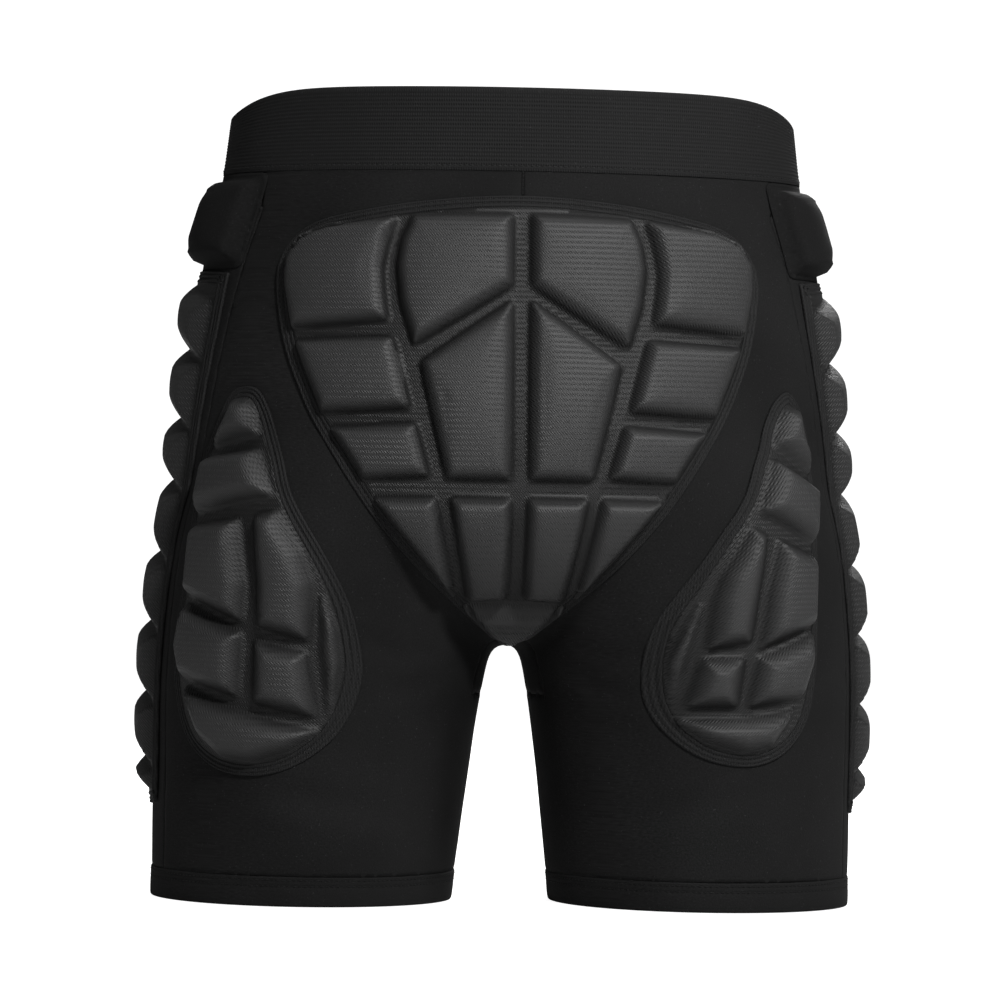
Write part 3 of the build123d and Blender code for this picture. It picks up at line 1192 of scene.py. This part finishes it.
def grain_place(tree, spot, flat):
    """The flat map, or the place in space unrolled round the body."""
    if flat:
        return node(tree, "ShaderNodeUVMap", (-1000, -260), uv_map="Flat").outputs[0]
    parts = node(tree, "ShaderNodeSeparateXYZ", (-820, -260), {0: spot}).outputs
    turn = maths(tree, "ADD", (-660, -220), parts[0], parts[1])
    return node(tree, "ShaderNodeCombineXYZ", (-500, -260), {0: turn, 1: parts[2]}).outputs[0]


def cloth_material(name, dark, light, pitch=0, slant=0.0, bump=0.06, rough=0.9, shine=0.1,
                   flat=True, lift=0.0):
    """Bump is in millimetres. Lift is painted light: how much lighter a raised cell is painted than its
    valley, which puts painted shade in the valleys.
    """
    material = bpy.data.materials.new(name)
    material.use_nodes = True
    tree = material.node_tree
    tree.nodes.clear()
    spot = node(tree, "ShaderNodeTexCoord", (-1000, 0)).outputs["Object"]
    knit = node(tree, "ShaderNodeGroup", (-300, -200),
                {"Vector": grain_place(tree, spot, flat), "Pitch": pitch, "Slant": slant,
                 "Fuzz": 2.0 if pitch == 0 else 0.4}, node_tree=threads)
    lint = node(tree, "ShaderNodeGroup", (-300, 160), {"Vector": spot}, node_tree=wear_group)
    tone = maths(tree, "MULTIPLY", (-80, 0), lint.outputs["Uneven"], knit.outputs["Shade"])
    # With lift, the base tone is dimmed and raised cells are painted lighter by their height: painted light
    # on the cell tops, painted shade in the valleys.
    tone = maths(tree, "MULTIPLY", (60, 0), tone, 1.9 * (1 - lift))
    if lift:
        raised = node(tree, "ShaderNodeAttribute", (-300, -460), attribute_name="lift")
        painted_cell_light = maths(tree, "MULTIPLY", (-80, -460), raised.outputs["Fac"], lift)
        tone = maths(tree, "ADD", (200, -100), tone, painted_cell_light)
    dye_and_painted_light = node(tree, "ShaderNodeMix", (360, 120), {"A": (*dark, 1), "B": (*light, 1), "Factor": tone},
               data_type="RGBA")
    dusty = node(tree, "ShaderNodeMix", (560, 120),
                 {"A": dye_and_painted_light.outputs["Result"], "B": DUST, "Factor": lint.outputs["Lint"]}, data_type="RGBA")
    wear = maths(tree, "MULTIPLY_ADD", (360, -120), lint.outputs["Uneven"], 0.16, rough - 0.08)
    relief = node(tree, "ShaderNodeBump", (560, -260),
                  {"Strength": 0.6, "Distance": bump * MM, "Height": knit.outputs["Height"]})
    shader = node(tree, "ShaderNodeBsdfPrincipled", (800, 0),
                  {"Base Color": dusty.outputs["Result"], "Roughness": wear, "Normal": relief.outputs[0],
                   "Specular IOR Level": shine})
    node(tree, "ShaderNodeOutputMaterial", (1100, 0), {0: shader.outputs[0]})
    return material


print("one recipe serves every cloth")

# %% Dye the cloths, with painted light and shade on the pads and hip pockets
jersey = cloth_material("black_jersey", (0.002, 0.002, 0.002), (0.0125, 0.0125, 0.0126), flat=False)
# The hip pockets use the same jersey with a darker light tone: painted shade on the sides.
shaded_hip_jersey = cloth_material("shaded_hip_jersey", (0.002, 0.002, 0.002), (0.009, 0.009, 0.0091))
# The pad knit paints its raised cells lighter than its valleys: painted light and painted shade.
pad_knit = cloth_material("pad_knit", (0.0012, 0.0012, 0.0012), (0.0185, 0.0185, 0.0187),
                          pitch=760, slant=0.8, bump=0.22, rough=0.56, shine=0.3, lift=0.72)
band_knit = cloth_material("band_knit", (0.003, 0.003, 0.003), (0.0125, 0.0125, 0.0127),
                           pitch=900, bump=0.2, rough=0.75, shine=0.16)
elastic = cloth_material("ribbed_elastic", (0.0035, 0.0035, 0.0035), (0.0115, 0.0115, 0.0117),
                         pitch=800, bump=0.16, rough=0.8, shine=0.12)
thread = cloth_material("sewing_thread", (0.004, 0.004, 0.004), (0.012, 0.012, 0.0122),
                        pitch=2600, slant=1.0, bump=0.1, rough=0.6, shine=0.2, flat=False)
hem_thread = cloth_material("hem_thread", (0.0024, 0.0024, 0.0024), (0.0075, 0.0075, 0.0075),
                            pitch=2600, slant=1.0, bump=0.1, rough=0.7, shine=0.14, flat=False)
print("finishes:", ", ".join(m.name for m in bpy.data.materials))


# %% [markdown]
# ## Put the shorts together
# Each piece is moved to the frame's middle, given its material and hung on the root, and the
# measured parts it stands for are hidden.

# %% Hand each piece to the frame
FORWARD = Matrix.Translation((0, 9.5 * MM, 0))


def wear(piece, material, slot, *nodes):
    """Move a piece to the frame's middle, give it its material, hang it on the root and hide the measured
    parts it stands for.
    """
    piece.data.transform(FORWARD)
    piece.data.materials.clear()
    piece.data.materials.append(material)
    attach(piece, "root")
    if nodes:
        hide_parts(*nodes)


# %% Dress the pads
def wear_pad(pieces, kind, tail):
    pad, band, stitches = pieces
    wear(pad, pad_knit, "pad_foam", f"{kind}_pad_foam{tail}")
    wear(band, band_knit, "pad_backing", f"{kind}_pad_backing{tail}")
    wear(stitches, thread, "thread")


wear_pad(seat_parts, "seat", "")
for word in ("left", "right"):
    for kind in ("thigh", "side"):
        wear_pad(pads[kind, word], kind, f"_{word}")
    wear(hip_pads[word], shaded_hip_jersey, "pad_cover", f"hip_pad_cover_{word}", f"hip_pad_foam_{word}")
    hem, rows = hems[word]
    wear(hem, jersey, "hem_jersey", f"leg_hem_{word}")
    wear(rows, hem_thread, "thread", f"hem_thread_{word}")
print("pads dressed:", 1 + len(pads) + len(hip_pads))

# %% Dress the cloth
for name, (panel, area) in panels.items():
    wear(panel, jersey, "shell_jersey", name)
wear(waistband, elastic, "rib_elastic", "waistband")
wear(waist_stitches, thread, "thread", "waistband_seam_thread")
wear(back_seam, thread, "thread", "centre_back_seam")
print("cloth panels dressed:", len(panels))


# %% [markdown]
# ## The studio
# The shorts stand on a plain pale floor in soft white light, with the stronger lamp above and to
# the right, so that the walls of the cells that face down and left fall into shadow.

# The paper glows for the camera only, so it looks white without lighting the shorts.

# %% The paper floor
bpy.ops.object.select_all(action="DESELECT")
bpy.ops.mesh.primitive_plane_add(size=12, location=(0, 0, -0.0005))
floor = bpy.context.object
floor.name = "studio_floor"
PAPER_GLOW = 0.95
paper = bpy.data.materials.new("studio_paper")
paper.use_nodes = True
tree = paper.node_tree
glances = node(tree, "ShaderNodeLightPath", (-600, 0))
glow = maths(tree, "MULTIPLY", (-300, 0), glances.outputs["Is Camera Ray"], PAPER_GLOW)
coat = tree.nodes["Principled BSDF"].inputs
coat["Base Color"].default_value = (0.6, 0.6, 0.6, 1)
coat["Roughness"].default_value = 0.95
coat["Specular IOR Level"].default_value = 0.1
coat["Emission Color"].default_value = (1, 1, 1, 1)
tree.links.new(glow, coat["Emission Strength"])
floor.data.materials.append(paper)
print("floor:", floor.name)


# %% [markdown]
# ## Air
# The camera sees a white backdrop, but only a little of it may reach the cloth, or black turns
# grey. So the air is bright for the camera and dim for everything else.

# %% The air round the shorts
BACKDROP = 1.15
AMBIENT = 0.1
world = bpy.data.worlds.new("studio")
bpy.context.scene.world = world
world.use_nodes = True
air = world.node_tree
air.nodes["Background"].inputs["Color"].default_value = (1, 1, 1, 1)
rays = node(air, "ShaderNodeLightPath", (-600, 0))
seen = maths(air, "MULTIPLY_ADD", (-300, 0), rays.outputs["Is Camera Ray"], BACKDROP - AMBIENT, AMBIENT)
air.links.new(seen, air.nodes["Background"].inputs["Strength"])
print("ambient light:", AMBIENT)


# %% [markdown]
# ## Lamps
# A small lamp high on the right gives the walls their shadows. A second one rims the right side, a
# weak one opens the left, one stands in front, and a wide one above whitens the floor.

# %% Hang the lamps
LAMPS = [
    # name, place, aim, size in metres and power in watts
    ("key", (0.5, -1.6, 1.3), (0, 0, 0.2), 0.3, 40),
    ("edge", (1.3, -0.7, 1.4), (0, 0, 0.2), 0.25, 15),
    ("fill", (-1.0, -1.8, 0.9), (0, 0, 0.22), 0.6, 2),
    ("front", (0.5, 1.7, 1.3), (0, 0, 0.22), 0.8, 30),
    ("floor_wash", (0, 0.2, 3.2), (0, 0.3, 0), 3.0, 30),
]
for name, place, aim, size, power in LAMPS:
    data = bpy.data.lights.new(name, "AREA")
    data.shape = "DISK"
    data.size = size
    data.energy = power
    lamp = bpy.data.objects.new(name, data)
    bpy.context.scene.collection.objects.link(lamp)
    lamp.location = place
    lamp.rotation_euler = (Vector(aim) - Vector(place)).to_track_quat("-Z", "Y").to_euler()
print("lamps:", len(LAMPS))


# %% [markdown]
# ## The view
# The shorts are seen from behind, level and a little from the left, from three metres away. The
# long lens keeps near and far parts almost the same size.

# %% Set up the camera
VIEW_TURN = math.radians(3.0)
VIEW_ROLL = 0.018
VIEW_DISTANCE = 3.0
VIEW_WIDTH = 0.52
VIEW_HEIGHT = 0.207
VIEW_SIDEWAYS = -0.0034
ahead = Vector((math.sin(VIEW_TURN), math.cos(VIEW_TURN), 0))
sideways = Vector((math.cos(VIEW_TURN), -math.sin(VIEW_TURN), 0))
lens = bpy.data.cameras.new("view")
lens.sensor_width = 36
lens.lens = 36 * VIEW_DISTANCE / VIEW_WIDTH
lens.clip_end = 50
camera = bpy.data.objects.new("view", lens)
bpy.context.scene.collection.objects.link(camera)
middle = Vector((0, FORWARD.translation.y, VIEW_HEIGHT))
camera.location = middle + sideways * VIEW_SIDEWAYS - ahead * VIEW_DISTANCE
turned = ahead.to_track_quat("-Z", "Y").to_matrix().to_4x4()
camera.rotation_euler = (turned @ Matrix.Rotation(VIEW_ROLL, 4, "Z")).to_euler()
bpy.context.scene.camera = camera
bpy.context.scene.view_settings.view_transform = "Standard"
print("lens:", round(lens.lens), "mm")


# %% [markdown]
# ## Finish

# %% Finish
print("finished")
